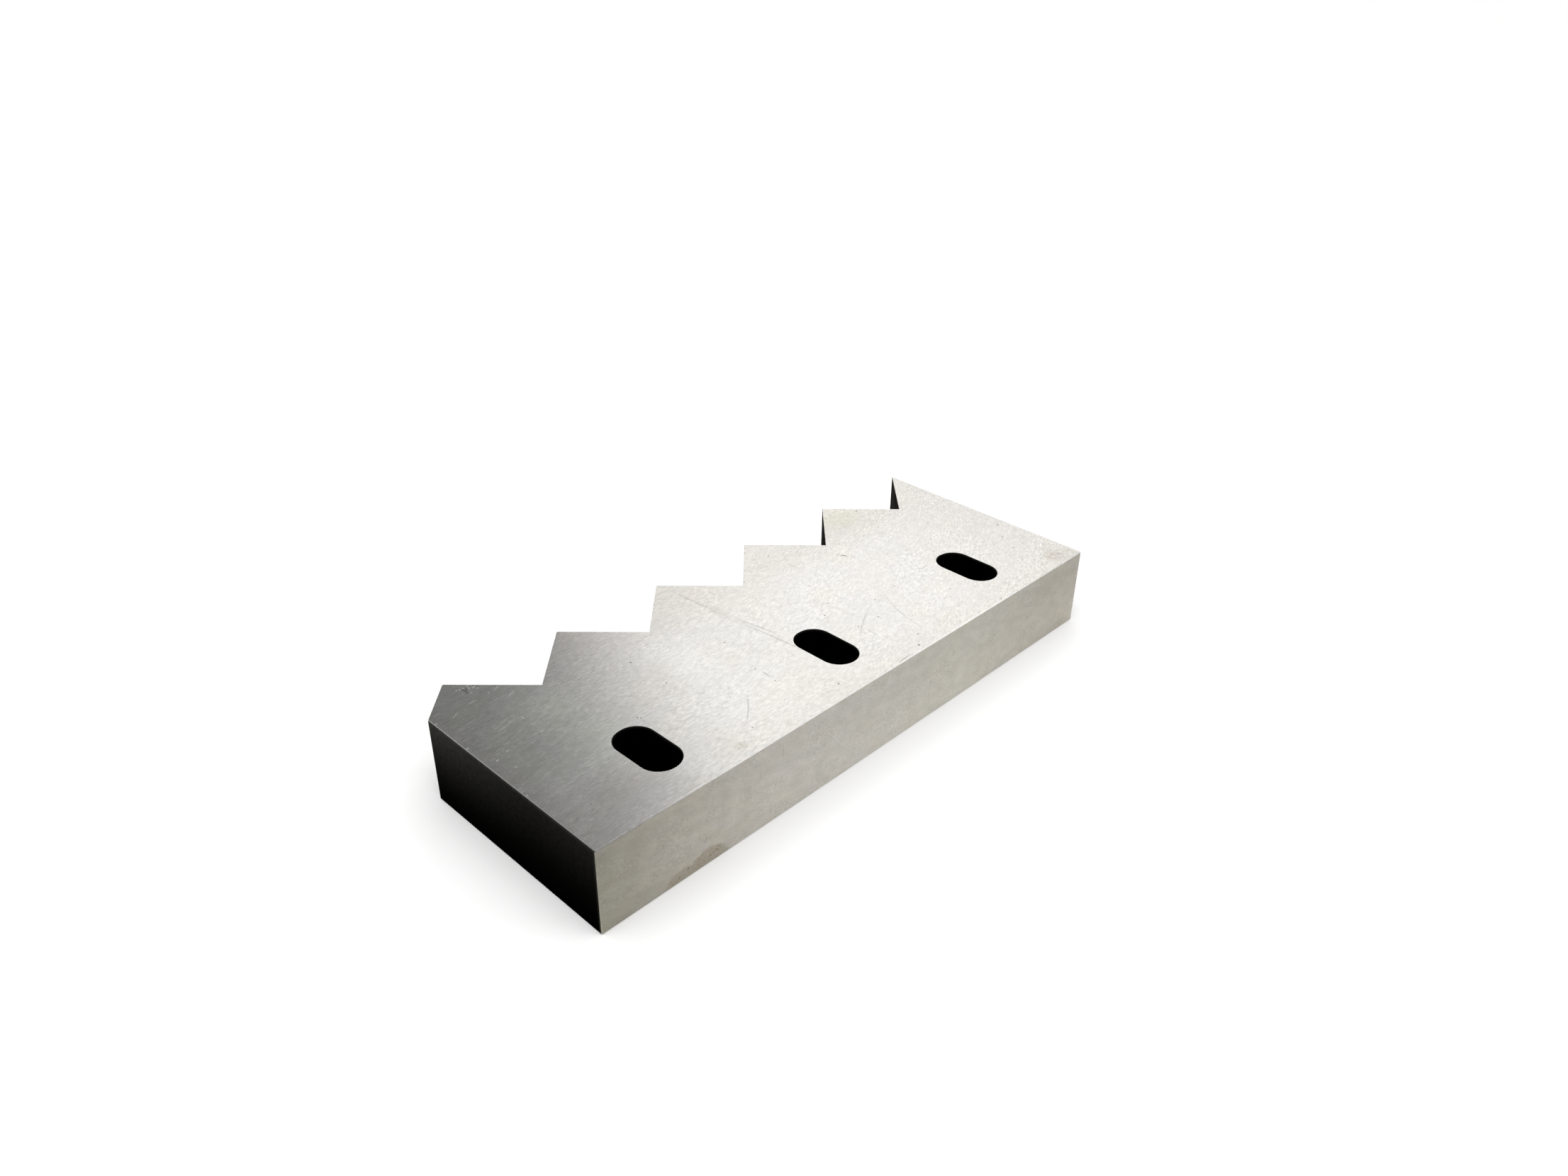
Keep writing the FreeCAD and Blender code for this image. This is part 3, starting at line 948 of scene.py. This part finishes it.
roughness = TOP_ROUGHNESS + dashes * DASH_ROUGHNESS + long_rub * RUB_ROUGHNESS
roughness = roughness + nicks_with_painted_highlights * NICK_ROUGHNESS + dark_marks * SCRATCH_ROUGHNESS
roughness = roughness + back_face * BACK_ROUGHNESS + edge_flat * end_flat * END_FLAT_ROUGHNESS
height = long_rub * RUB_HEIGHT + bruise_grain * bruise_place * BRUISE_HEIGHT
relief = steel.node("ShaderNodeBump", {}, {"Height": height, "Distance": RELIEF_DEPTH})
ground_steel = steel.node("ShaderNodeBsdfPrincipled", {},
                          {"Base Color": steel_colour, "Metallic": 1.0,
                           "Roughness": roughness, "Normal": relief})
print("relief:", RELIEF_DEPTH * MM, "mm")

# %% [markdown]
# ## Black scale on the ends
#
# Hardening the steel left a black scale on the ends, on the flanks of the teeth and in the slots.
# Nobody ground it off, because nothing bears on those faces. Its colour is painted almost black
# at the foot and greyer towards the teeth, which is painted shade and a painted reflection, and a
# painted highlight lightens it along the top rim and down the corner. Noise stands for the soot
# in it.

# %% Scale on the ends
# The scale gets greyer with the square of the height, and from the back edge to the teeth:
# painted shade at the foot and a painted reflection towards the teeth.
GREY_AT_FOOT = 0.04
GREY_BY_HEIGHT = 0.00075
GREY_AT_BACK_EDGE = 0.34
SCALE_GREY = 0.0265
SCALE_SOOT = 0.042
RIM_HIGHLIGHT_GREY = 0.021
RIM_SOOT = 0.028


def mottle(fineness, slice_place, detail):
    """Blotches of about one over the fineness in millimetres, in no direction of their own."""
    return centred_noise(spot.moved(fineness, (slice_place, 0.0, 0.0)), detail)


soot = mottle((0.5, 0.5, 0.5), 21.0, 5.0)
by_height = GREY_AT_FOOT + up * up * GREY_BY_HEIGHT
by_width = GREY_AT_BACK_EDGE + across.rise(30.0, 125.0) * (1.0 - GREY_AT_BACK_EDGE)
painted_scale_light = by_height * by_width
# A painted highlight along the top rim and down the corner at the back edge.
painted_rim_highlight = up.rise(TOP - 1.9, TOP - 0.4).most(across.fall(0.5, 2.2))
end_grey = painted_scale_light * (SCALE_GREY + soot * SCALE_SOOT)
end_grey = end_grey + painted_rim_highlight * painted_rim_highlight * (RIM_HIGHLIGHT_GREY + soot * RIM_SOOT)
print("nodes so far:", len(blade_steel.node_tree.nodes))

# %% [markdown]
# ## Scale on the tooth flanks
#
# The flanks were sawn before hardening and have seen more handling, so their scale is browner:
# soft clouds of it on each face, finer soot, and a few light ticks. A paler line under the
# cutting edge is a painted highlight.

# %% Scale on the flanks
FLANK_GREY = 0.0125
FLANK_CLOUD = 0.010
FLANK_SOOT = 0.014
FLANK_TICKS = 0.03
PAINTED_EDGE_HIGHLIGHT = 0.02

on_flank = across.rise(86.0, 88.0) * abs(face_x).fall(0.85, 0.9)
flank_cloud = flecks(15.0, 9.0, 4100.0, 1.0).rise(-0.02, 0.14)
flank_soot = mottle((0.45, 0.45, 0.30), 40.0, 5.0)
flank_ticks = mottle((1.1, 1.1, 0.35), 90.0, 0.0).rise(0.33, 0.40)
flank_grey = FLANK_GREY + flank_cloud * FLANK_CLOUD + flank_soot * FLANK_SOOT
# The last term is the painted highlight under the cutting edge.
flank_grey = flank_grey + flank_ticks * FLANK_TICKS + up.rise(TOP - 0.8, TOP) * PAINTED_EDGE_HIGHLIGHT
# Painted shade in the slots: the scale's colour is darkened, most of all deep below the rim.
slot_painted_shade = in_slot * up.rise(TOP - 1.4, TOP - 0.4, 0.97, 0.60)
scale_grey = (end_grey * (1.0 - on_flank) + flank_grey * on_flank) * (1.0 - slot_painted_shade)
print("nodes so far:", len(blade_steel.node_tree.nodes))

# %% [markdown]
# ## The scale's shader
#
# Scale is no metal: a dark matt base with a thin coat for its sheen, stronger near the teeth. In
# the slots the coat is nearly gone, as part of the painted shade that keeps them black down to
# the seat.

# %% Black scale
SCALE_ROUGHNESS = 0.5
COAT_ROUGHNESS = 0.3
END_SHEEN = 0.06
FLANK_SHEEN = 0.012

scale_green = scale_grey * (0.96 - on_flank * 0.03)
scale_blue = scale_grey * (0.83 - on_flank * 0.03)
scale_colour = steel.node("ShaderNodeCombineColor", {},
                          {"Red": scale_grey, "Green": scale_green, "Blue": scale_blue})
sheen = painted_scale_light * END_SHEEN * (1.0 - on_flank) + on_flank * FLANK_SHEEN
black_scale = steel.node("ShaderNodeBsdfPrincipled", {},
                         {"Base Color": scale_colour, "Roughness": SCALE_ROUGHNESS,
                          "Specular IOR Level": 0.0, "Coat Weight": sheen * (1.0 - slot_painted_shade),
                          "Coat Roughness": COAT_ROUGHNESS})
print("roughness of the scale:", SCALE_ROUGHNESS, "and of its coat:", COAT_ROUGHNESS)

# %% [markdown]
# ## One finish for the whole blade
#
# Every wall but the back face is scaled. So are most of the slots' rims and the lower part of the
# flats along the ends, where a file took only the sharpness off. One Mix Shader chooses between
# the two finishes, and its factor is the only place where they meet.

# %% The whole finish
scaled_wall = wall_face * across.rise(0.40, 0.50)
slot_rim = in_slot * (1.0 - flat_face) * up.fall(TOP - 0.16, TOP - 0.06)
slanted = 1.0 - flat_face - wall_face
end_corner = slanted * abs(face_x).rise(0.5, 0.6) * up.fall(TOP - 0.34, TOP - 0.22)
scaled = scaled_wall.most(slot_rim).most(end_corner)
finish = steel.node("ShaderNodeMixShader", {}, {0: scaled, 1: ground_steel, 2: black_scale})
finish.shown_by("ShaderNodeOutputMaterial", "Surface")
blade.material_slots[0].material = blade_steel
print("nodes in the steel:", len(blade_steel.node_tree.nodes))
